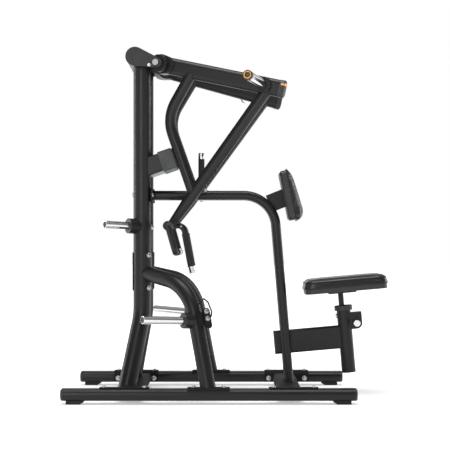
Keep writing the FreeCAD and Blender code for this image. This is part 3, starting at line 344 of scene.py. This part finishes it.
# ---------------------------------------------------------------- weld beads
def weld(mesh, onto, centre, axis, radius, size=2.6 * MM, reach=0.12):
    """A rippled bead where a tube of that axis and radius lands on one of the nodes in onto."""
    u, v = across(axis)
    count = max(48, int(2 * math.pi * radius / (1.6 * MM)))
    runs, run = [], []
    for k in range(count):
        angle = 2 * math.pi * k / count
        start = centre + axis * reach + (u * math.cos(angle) + v * math.sin(angle)) * (radius + 0.4 * MM)
        hits = [h for h in (strike(n, start, -axis) for n in onto) if h]
        hits = [h for h in hits if (h[0] - start).length < reach * 1.9]
        if hits:
            run.append(min(hits, key=lambda h: (h[0] - start).length)[0])
        elif run:
            runs.append(run)
            run = []
    if run and runs and len(runs[0]) < count:
        runs[0] = run + runs[0]
        run = []
    if run:
        runs.append(run)
    for path in runs:
        if len(path) < 6:
            continue
        radii = [size * (1 + 0.16 * math.sin(k * 2.1) + 0.1 * noise.noise(p * 300)) for k, p in enumerate(path)]
        tube(mesh, path, radii, len(path) == count, 8)


# ---------------------------------------------------------------- geometry shared with the CAD
SPLAY = math.radians(17.5)
FALL = math.radians(13)
PIVOT_UP = 1.794
HORN_LIFT = math.radians(3.7)
HORN_REACH, HORN_END = 0.574, 0.326


def outward_of(side):
    return Vector((-math.sin(SPLAY), SIDES[side] * math.cos(SPLAY), 0))


def forward_of(side):
    return Vector((math.cos(SPLAY), SIDES[side] * math.sin(SPLAY), 0))


def horn_line(side):
    """The direction of a loading horn."""
    return outward_of(side) * math.cos(HORN_LIFT) + Z_AXIS * math.sin(HORN_LIFT)


def arm_spot(side, reach, up, out=0.0):
    """A place on an arm at rest: so far from the pivot in plan, that high, and so far out of the arm's plane."""
    pivot = Vector((-0.356, 0.118 * SIDES[side], 0))
    return pivot + forward_of(side) * reach + outward_of(side) * out + Z_AXIS * up


def tube_up(reach):
    """The height of a top tube's middle line, so far from the pivot."""
    return PIVOT_UP - reach * math.tan(FALL)


SEAT_LEAN = math.radians(5)
SEAT_UP = Vector((-math.sin(SEAT_LEAN), 0, math.cos(SEAT_LEAN)))
SEAT_FWD = Vector((math.cos(SEAT_LEAN), 0, math.sin(SEAT_LEAN)))
SEAT_ROOT = Vector((0.644, 0, 0.300))
# the seat cushion: how far its middle lies forward of the post, half its size, its underside and its thickness
SEAT_SHIFT, SEAT_HALF_LONG, SEAT_HALF_WIDE = 0.0174, 0.230, 0.165
SEAT_BASE, SEAT_THICK = 0.2925, 0.050
PAD_LEAN = math.radians(11.7)
PAD_OUT = Vector((math.cos(PAD_LEAN), 0, math.sin(PAD_LEAN)))
PAD_UP = Vector((-math.sin(PAD_LEAN), 0, math.cos(PAD_LEAN)))
PAD_MIDDLE = Vector((0.337, 0, 1.091))
PAD_HALF_TALL, PAD_HALF_WIDE = 0.145, 0.120


# ---------------------------------------------------------------- cushions
def soft_copy(node, name, reshape, swell, pinned):
    """A remeshed copy of a soft solid, reshaped, blown up a little by cloth pressure, then smoothed."""
    obj = bpy.data.objects.new(name, NODES[node].data.copy())
    bpy.context.scene.collection.objects.link(obj)
    welded = bmesh.new()
    welded.from_mesh(obj.data)
    bmesh.ops.remove_doubles(welded, verts=welded.verts, dist=1e-5)
    welded.to_mesh(obj.data)
    welded.free()
    remesh = obj.modifiers.new("remesh", "REMESH")
    remesh.mode, remesh.voxel_size = "VOXEL", 0.005
    bake_modifiers(obj)
    for vertex in obj.data.vertices:
        vertex.co = reshape(vertex.co.copy())
    rest = [v.co.copy() for v in obj.data.vertices]
    held = obj.vertex_groups.new(name="held")
    held.add([v.index for v in obj.data.vertices if pinned(v.co)], 1.0, "REPLACE")
    cloth = obj.modifiers.new("cloth", "CLOTH")
    cloth.settings.vertex_group_mass = "held"
    cloth.settings.use_pressure = True
    cloth.settings.uniform_pressure_force = 4
    cloth.settings.tension_stiffness = 25
    cloth.settings.effector_weights.gravity = 0
    cloth.point_cache.frame_start, cloth.point_cache.frame_end = 1, 20
    for step in range(1, 21):
        bpy.context.scene.frame_set(step)
    bake_modifiers(obj)
    for vertex, start in zip(obj.data.vertices, rest):
        move = vertex.co - start
        if move.length > swell:
            vertex.co = start + move.normalized() * swell
    bpy.context.scene.frame_set(1)
    obj.vertex_groups.clear()
    even = obj.modifiers.new("even", "SMOOTH")
    even.factor, even.iterations = 0.5, 6
    finer = obj.modifiers.new("finer", "SUBSURF")
    finer.levels = finer.render_levels = 1
    bake_modifiers(obj)
    obj.data.shade_smooth()
    dress(obj, "vinyl_black")
    return obj


def bake_modifiers(obj):
    """Puts the modifiers' result in the object's mesh."""
    graph = bpy.context.evaluated_depsgraph_get()
    made = bpy.data.meshes.new_from_object(obj.evaluated_get(graph))
    obj.modifiers.clear()
    obj.data = made


def seat_shape(point):
    """Tucks the seat cushion in a little and crowns its top."""
    away = point - SEAT_ROOT
    f, s, u = away.dot(SEAT_FWD) - SEAT_SHIFT, away.y, away.dot(SEAT_UP)
    length, width = f / SEAT_HALF_LONG, s / SEAT_HALF_WIDE
    height = (u - SEAT_BASE) / SEAT_THICK
    crown = (1 - length ** 4) * (1 - width ** 4)
    top = 0.0035 * crown - 0.0025
    waist = 0.0030 * (1 - abs(height * 2 - 1) ** 2)
    f -= math.copysign(0.001 + waist * (1 - width * width) * 0.6, f) * min(1, abs(length) * 1.2)
    s -= math.copysign(0.002 + waist * (1 - length * length) * 0.6, s) * min(1, abs(width) * 1.2)
    u += top * max(0.0, height)
    return SEAT_ROOT + SEAT_FWD * (f + SEAT_SHIFT) + Y_AXIS * s + SEAT_UP * u


# the chest cushion's thickness, from its top to its bottom, as shares of the CAD cushion's
CHEST_PROFILE = ((0.0, 0.36), (0.05, 0.50), (0.12, 0.62), (0.27, 0.78), (0.5, 0.95), (0.8, 1.14), (0.88, 1.17),
                 (0.95, 1.06), (1.0, 0.78))


def chest_depth(share):
    """How thick the chest cushion is, as a share of its most, from its top (0) to its bottom (1)."""
    for (a, low), (b, high) in zip(CHEST_PROFILE, CHEST_PROFILE[1:]):
        if share <= b:
            t = (share - a) / (b - a)
            return low + (high - low) * t
    return CHEST_PROFILE[-1][1]


def chest_shape(point):
    """Thins the chest cushion towards its top and its two sides."""
    away = point - PAD_MIDDLE
    d, s, u = away.dot(PAD_OUT), away.y, away.dot(PAD_UP)
    share = min(1.0, max(0.0, (PAD_HALF_TALL - u) / (2 * PAD_HALF_TALL)))
    side = min(1.0, abs(s) / PAD_HALF_WIDE)
    depth = chest_depth(share) * (1 - 0.42 * side ** 3.2)
    u *= 0.985
    s *= 0.985
    return PAD_MIDDLE + PAD_OUT * (d * depth * 0.95) + Y_AXIS * s + PAD_UP * u


seat = soft_copy("seat_cushion", "seat_cushion_vinyl", seat_shape, 5 * MM,
                 lambda p: (p - SEAT_ROOT).dot(SEAT_UP) < 0.2955)
chest = soft_copy("chest_pad_cushion", "chest_cushion_vinyl", chest_shape, 5 * MM,
                  lambda p: (p - PAD_MIDDLE).dot(PAD_OUT) < 0.003)
for obj, node, body in ((seat, "seat_cushion", "seat"), (chest, "chest_pad_cushion", "frame")):
    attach(obj, body)
    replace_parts(obj, node)


SEAM_CORNER = 5
SEAM_POINTS = 220


def seam_path(cushion, centre, u, v, half_u, half_v):
    """Points where a cushion's side meets a plane, walking round a rounded rectangle."""
    tree = tree_of(cushion)
    power = 2 / SEAM_CORNER
    out = []
    for k in range(SEAM_POINTS):
        angle = 2 * math.pi * k / SEAM_POINTS
        c, s = math.cos(angle), math.sin(angle)
        spot = (centre + u * math.copysign(abs(c) ** power, c) * half_u
                + v * math.copysign(abs(s) ** power, s) * half_v)
        inward = (centre - spot)
        start = centre - inward * 1.3
        point, _, _, _ = tree.ray_cast(start, inward.normalized())
        if point:
            out.append(point)
    return out


def piping(name, cushion, body, centre, u, v, half_u, half_v, radius):
    """A closed cord sewn along a cushion's side, at the height of centre."""
    mesh = bmesh.new()
    tube(mesh, seam_path(cushion, centre, u, v, half_u, half_v), radius, True, 10)
    piece(name, mesh, body, "seam")


seat_axis = SEAT_ROOT + SEAT_FWD * SEAT_SHIFT
for name, up, radius in (("seat_piping_top", 0.3285, 2.4 * MM), ("seat_piping_low", 0.2960, 2.2 * MM)):
    piping(name, seat, "seat", seat_axis + SEAT_UP * up, SEAT_FWD, Y_AXIS, SEAT_HALF_LONG, SEAT_HALF_WIDE, radius)
piping("chest_piping", chest, "frame", PAD_MIDDLE + PAD_OUT * 0.0035, PAD_UP, Y_AXIS,
       PAD_HALF_TALL, PAD_HALF_WIDE, 2.2 * MM)


# ---------------------------------------------------------------- grips
def grip(name, side, start, end, radius):
    """A moulded rubber sleeve: low ribs between two plain cuffs."""
    pitch = 5 * MM
    axis = (end - start).normalized()
    long = (end - start).length
    cuff = 7 * MM
    profile = [(radius - 2.5 * MM, 0), (radius, 0), (radius + 1.2 * MM, 1 * MM), (radius + 1.2 * MM, cuff - 2 * MM),
               (radius - 0.5 * MM, cuff)]
    at = cuff
    while at + pitch < long - cuff:
        profile += [(radius - 0.5 * MM, at + pitch * 0.25), (radius, at + pitch * 0.38), (radius, at + pitch * 0.87),
                    (radius - 0.5 * MM, at + pitch)]
        at += pitch
    profile += [(radius - 0.5 * MM, long - cuff), (radius + 1.2 * MM, long - cuff + 2 * MM),
                (radius + 1.2 * MM, long - 1 * MM), (radius, long), (radius - 2.5 * MM, long)]
    mesh = bmesh.new()
    lathe(mesh, start, axis, profile, 40)
    return piece(name, mesh, side + "_arm", "rubber_black")


for side, sign in SIDES.items():
    corner, outer_end = Vector((-0.283, sign * 0.298, 0.780)), Vector((-0.277, sign * 0.170, 0.780))
    run = (outer_end - corner).normalized()
    outer = grip("outer_grip_" + side, side, corner + run * 0.034, outer_end, 17.5 * MM)
    knee, low = arm_spot(side, 0.095, 0.925, -0.064), arm_spot(side, 0.135, 0.701, -0.075)
    hang = (low - knee).normalized()
    grip("inner_grip_" + side, side, knee + hang * 0.046, low, 19 * MM)
    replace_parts(outer, "grips_" + side)


# ---------------------------------------------------------------- bolts
def heads_of(node):
    """Base point and direction of every bolt head in a node, found from each loose part's own shape."""
    mesh = bmesh.new()
    mesh.from_mesh(NODES[node].data)
    bmesh.ops.remove_doubles(mesh, verts=mesh.verts, dist=1e-6)
    mesh.verts.ensure_lookup_table()
    seen, out = set(), []
    for vertex in mesh.verts:
        if vertex.index in seen:
            continue
        part, queue = [], [vertex]
        seen.add(vertex.index)
        while queue:
            here = queue.pop()
            part.append(here)
            for edge in here.link_edges:
                other = edge.other_vert(here)
                if other.index not in seen:
                    seen.add(other.index)
                    queue.append(other)
        faces = {f for v in part for f in v.link_faces}
        flat = {}
        for face in faces:
            key = tuple(round(c, 2) for c in face.normal)
            total, middle = flat.get(key, (0.0, Vector()))
            flat[key] = (total + face.calc_area(), middle + face.calc_center_median() * face.calc_area())
        key = max(flat, key=lambda k: flat[k][0])
        total, middle = flat[key]
        out.append((middle / total, -Vector(key).normalized()))
    mesh.free()
    return out


bolts = bmesh.new()
for base, axis in heads_of("frame_bolts"):
    socket_bolt(bolts, base, axis, 11 * MM, 8 * MM)


def set_bolt(mesh, node, start, direction, radius, tall):
    """A bolt head where a ray from start lands on a node."""
    hit = strike(node, start, direction)
    if hit:
        socket_bolt(mesh, hit[0], -direction, radius, tall)


for side, sign in SIDES.items():
    set_bolt(bolts, "pivot_plates", Vector((-0.427, sign * 0.4, 1.780)), -Y_AXIS * sign, 7 * MM, 5 * MM)
    socket_bolt(bolts, Vector((-0.151, 0.050 * sign, 1.0645)), -Z_AXIS, 9 * MM, 10 * MM)
    set_bolt(bolts, "centre_handle", Vector((-0.128, sign * 0.3, 1.117)), -Y_AXIS * sign, 8 * MM, 6 * MM)
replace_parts(piece("bolt_heads", bolts, "frame", "zinc_steel"), "frame_bolts")

for side, sign in SIDES.items():
    links = bmesh.new()
    for up in (0.919, 0.936):
        set_bolt(links, "handle_frame_" + side, arm_spot(side, 0.086, up, 0.02), -outward_of(side), 5 * MM, 4 * MM)
    if links.verts:
        piece("handle_bolts_" + side, links, side + "_arm", "zinc_steel")
    else:
        links.free()

# ---------------------------------------------------------------- end-cap accents, and a painted highlight on each arm's end cap
STRIPE_HALF = 0.6 * MM
for side in SIDES:
    body = side + "_arm"
    horn = horn_line(side)
    face = arm_spot(side, HORN_REACH, tube_up(HORN_REACH)) + horn * HORN_END
    mesh = bmesh.new()
    u, v = across(horn)
    profile = in_mm((15.4, -0.5), (15.4, 0.5), (15.9, 0.9), (19.2, 0.9), (19.6, 0.4), (19.6, -0.5))
    loops = [ring(mesh, face + horn * h, u, v, r, 64) for r, h in profile]
    for a, b in zip(loops, loops[1:] + loops[:1]):
        bridge(mesh, a, b)
    piece("horn_ring_" + side, mesh, body, "accent")
    mesh = bmesh.new()
    lathe(mesh, face, horn, in_mm((19.6, -0.4), (19.6, 0.6), (24.0, 0.8), (24.8, 0.3), (25.3, -2.5),
                                  (25.3, -6.0), (24.6, -6.4)), 64)
    piece("horn_rim_" + side, mesh, body, "plastic_black")
    mesh = bmesh.new()
    lathe(mesh, face - horn * 0.5 * MM, horn, in_mm((11.5, 0), (11.5, 1.0), (10.6, 1.6), (4, 1.9)))
    piece("horn_button_" + side, mesh, body, "plastic_grey")

    along = forward_of(side) * math.cos(FALL) - Z_AXIS * math.sin(FALL)
    rise = forward_of(side) * math.sin(FALL) + Z_AXIS * math.cos(FALL)
    out = outward_of(side)
    middle = arm_spot(side, 0, PIVOT_UP) + along * 0.682
    cap = "arm_end_caps_" + side
    # the second band is painted light: a bright zinc strip standing for the highlight along the cap's top edge,
    # above the orange stripe
    for name, low, high, finish in (("stripe", 0.019, 0.027, "accent"), ("painted_highlight", 0.0285, 0.0315, "zinc_steel")):
        mesh = bmesh.new()
        cells = []
        for k in range(61):
            angle = math.radians(-94 + 188 * k / 60)
            ray = along * math.cos(angle) + out * math.sin(angle)
            hits = [strike(cap, middle + rise * level + ray * 0.2, -ray) for level in (low, high)]
            if all(hits):
                (lower, lower_out), (upper, upper_out) = hits
                cells.append([mesh.verts.new(spot) for spot in (
                    lower - lower_out * STRIPE_HALF, lower + lower_out * STRIPE_HALF,
                    upper + upper_out * STRIPE_HALF, upper - upper_out * STRIPE_HALF)])
        for a, b in zip(cells, cells[1:]):
            bridge(mesh, a, b)
        mesh.faces.new(cells[0])
        mesh.faces.new(cells[-1][::-1])
        piece("cap_%s_%s" % (name, side), mesh, body, finish)

# ---------------------------------------------------------------- centre-handle cap and handle plugs
POST = Vector((-0.151, 0, 0))
mesh = bmesh.new()
lathe(mesh, POST + Z_AXIS * 1.290, Z_AXIS, in_mm((16.1, 0), (16.9, 0), (16.9, 30), (15.8, 32.4), (13.5, 33.2)))
piece("centre_handle_cap", mesh, "frame", "chrome")
mesh = bmesh.new()
grip_profile = [(16.0, 0), (17.4, 0.6), (17.4, 4), (16.7, 6)]
for step in range(18):
    at = 6 + step * 6
    grip_profile += [(16.7, at + 0.8), (17.2, at + 1.6), (17.2, at + 5.0), (16.7, at + 5.8)]
grip_profile += [(16.7, 115), (17.4, 117), (17.4, 119), (16.0, 119.6)]
lathe(mesh, POST + Z_AXIS * 1.170, Z_AXIS, in_mm(*grip_profile))
piece("centre_handle_grip", mesh, "frame", "rubber_black")
for side, sign in SIDES.items():
    mesh = bmesh.new()
    bar_end = Vector((-0.314, sign * 0.3055, 0.9245))
    lathe(mesh, bar_end, Y_AXIS * sign, in_mm((17, 0), (17, 2.2), (15.6, 3.4), (9, 4.2)))
    piece("bar_plug_" + side, mesh, side + "_arm", "plastic_black")

# ---------------------------------------------------------------- painted shade in the storage horns: black caps standing for the dark inside of their open ends
for mount in frame["record"]["mounts"]:
    if "storage_horn" in mount["name"]:
        axis = Vector(mount["axis"]).normalized()
        tip = Vector(mount["pos_m"]) + axis * mount["dims"]["length_mm"] * MM / 2
        mesh = bmesh.new()
        # painted shade: this black cap on the tip stands for the dark bore of the horn's open end, though the piece
        # is named a plug
        lathe(mesh, tip - axis * 0.4 * MM, axis,
              in_mm((15.5, 0), (15.5, 1.2), (14.6, 1.7), (12.5, 1.7), (11.5, 0.9), (4, 0.7)))
        piece(mount["name"] + "_plug", mesh, "frame", "plastic_black")

# ---------------------------------------------------------------- seat-beam end cap
beam_root = Vector((0.256, 0, 0.282))
mesh = bmesh.new()
loops = []
for inset, back in ((3, 3), (0.2, 3), (-1.6, 2), (-1.6, -3), (0.6, -6.5), (4, -7.5)):
    loop = []
    half_y, half_z, corner = (24.7 - inset) * MM, (64 - inset) * MM, (12 - inset) * MM
    for k in range(64):
        angle = 2 * math.pi * (k + 0.5) / 64
        c, s = math.cos(angle), math.sin(angle)
        y = math.copysign(half_y - corner, c) + corner * c
        z = math.copysign(half_z - corner, s) + corner * s
        loop.append(mesh.verts.new(beam_root + SEAT_FWD * back * MM + Y_AXIS * y + SEAT_UP * z))
    loops.append(loop)
for a, b in zip(loops, loops[1:]):
    bridge(mesh, a, b)
lid(mesh, loops[0])
lid(mesh, loops[-1])
piece("seat_beam_cap", mesh, "frame", "plastic_black")

# ---------------------------------------------------------------- welds
frame_welds = bmesh.new()
swing, lift = math.radians(33), math.radians(2.6)
for side, sign in SIDES.items():
    boss = Vector((-math.cos(swing) * math.cos(lift), sign * math.sin(swing) * math.cos(lift), math.sin(lift)))
    weld(frame_welds, ["upright_" + side], Vector((-0.469, 0.120 * sign, 0.917)), boss, 41 * MM)
    weld(frame_welds, ["front_crossmember"], Vector((0.329, 0.050 * sign, 0.073)),
         (Vector((0.244, 0, 1.089)) - Vector((0.329, 0, 0.073))).normalized(), 25 * MM)
    leg_foot = Vector((-0.106, 0.475 * sign, 0.076))
    start = Vector((-0.455, 0.130 * sign, 0))
    plan = Vector((leg_foot.x - start.x, leg_foot.y - start.y, 0)).normalized()
    knee = start + plan * 0.350 + Z_AXIS * 0.604
    weld(frame_welds, ["rail_saddles"], leg_foot, (knee - leg_foot).normalized(), 40 * MM)
    foot = Vector((-0.541, 0.238 * sign, 0.070))
    bend = Vector((-0.469, 0.120 * sign, 0.440))
    weld(frame_welds, ["rear_crossmember", "rail_saddles"], foot, (bend - foot).normalized(), 47.5 * MM)
    weld(frame_welds, ["upright_" + side], Vector((-0.469, 0.120 * sign, 1.72)), -Z_AXIS, 47.5 * MM, reach=0.2)
weld(frame_welds, ["seat_post"], SEAT_ROOT, SEAT_UP, 60 * MM)
piece("frame_welds", frame_welds, "frame", "powder_black")

for side in SIDES:
    mesh = bmesh.new()
    low, top = arm_spot(side, 0.050, 0.931), arm_spot(side, 0.600, 1.659)
    weld(mesh, ["top_tube_" + side], top, (low - top).normalized(), 31 * MM, reach=0.2)
    high = arm_spot(side, 0.172, tube_up(0.172))
    knee = arm_spot(side, 0.022, 1.507)
    weld(mesh, ["top_tube_" + side], high, (knee - high).normalized(), 30 * MM, reach=0.2)
    foot = arm_spot(side, 0.174, 1.095)
    weld(mesh, ["front_strut_" + side], foot, (knee - foot).normalized(), 30 * MM, reach=0.2)
    piece("arm_welds_" + side, mesh, side + "_arm", "powder_black")

# ---------------------------------------------------------------- stage and light
floor_mesh = bmesh.new()
bmesh.ops.create_grid(floor_mesh, x_segments=8, y_segments=8, size=40)
floor_data = bpy.data.meshes.new("floor")
floor_mesh.to_mesh(floor_data)
floor_mesh.free()
floor = bpy.data.objects.new("floor", floor_data)
floor.location.z = -0.0006
bpy.context.scene.collection.objects.link(floor)
paper = Surface("floor_painted_glow", Specular_IOR_Level=0.1, Emission_Color=(1, 1, 1, 1))
paper.colour(paper.noise(0.6, 3), (0.86, 0.86, 0.86), (0.90, 0.90, 0.90))
paper.link(paper.ramp(paper.noise(2, 2), 0.75, 0.85), "Roughness")
# painted light: the floor glows by emission, fainter (0.42) within 0.9 m of the middle so the cast shadows show,
# rising to near full white (0.97) beyond 2.3 m
away = paper.node("VectorMath", Vector=paper.place)
away.operation = "LENGTH"
paper.link(paper.ramp(away.outputs["Value"], 0.42, 0.97, 0.9, 2.3), "Emission Strength")
floor.data.materials.append(paper.material)
floor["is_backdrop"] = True

world = bpy.data.worlds.new("studio")
bpy.context.scene.world = world
world.use_nodes = True
sky = world.node_tree
back = sky.nodes["Background"]
heading = sky.nodes.new("ShaderNodeSeparateXYZ")
sky.links.new(sky.nodes.new("ShaderNodeTexCoord").outputs["Generated"], heading.inputs[0])
tones = sky.nodes.new("ShaderNodeValToRGB")
sky.links.new(heading.outputs["Y"], tones.inputs[0])
for stop, (at, tint) in zip(tones.color_ramp.elements, ((0.88, (0.10, 0.10, 0.105, 1)), (0.955, (1, 1, 1, 1)))):
    stop.position, stop.color = at, tint


def by_height(start, end, low, high):
    """A number that goes from low to high as a direction's height goes from start to end."""
    made = sky.nodes.new("ShaderNodeMapRange")
    for socket, value in (("From Min", start), ("From Max", end), ("To Min", low), ("To Max", high)):
        made.inputs[socket].default_value = value
    sky.links.new(heading.outputs["Z"], made.inputs["Value"])
    return made.outputs[0]


paler = sky.nodes.new("ShaderNodeMath")
paler.operation = "MAXIMUM"
sky.links.new(tones.outputs[0], paler.inputs[0])
sky.links.new(by_height(0.20, 0.27, 1.0, 0.0), paler.inputs[1])
sky.links.new(paler.outputs[0], back.inputs["Color"])
sky.links.new(by_height(0.3, 0.8, 1.0, 4.5), back.inputs["Strength"])


def softbox(name, at, aim, wide, tall, watts):
    """A rectangular area light that faces a point."""
    data = bpy.data.lights.new(name, "AREA")
    data.shape, data.size, data.size_y, data.energy = "RECTANGLE", wide, tall, watts
    light = bpy.data.objects.new(name, data)
    bpy.context.scene.collection.objects.link(light)
    light.location = at
    light.rotation_euler = (Vector(aim) - Vector(at)).to_track_quat("-Z", "Y").to_euler()


softbox("key", (-1.35, -5.0, 2.4), (0, 0, 0.9), 0.5, 3.2, 62)
softbox("overhead", (0.0, -0.6, 4.6), (0, 0, 0.5), 3.0, 1.6, 120)
softbox("rim", (4.6, 2.2, 1.8), (0, 0, 1.0), 0.5, 3.0, 45)
softbox("rim_left", (-4.8, 1.6, 2.0), (0, 0, 1.0), 0.5, 3.0, 60)
bpy.context.scene.view_settings.view_transform = "Standard"

low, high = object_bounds()
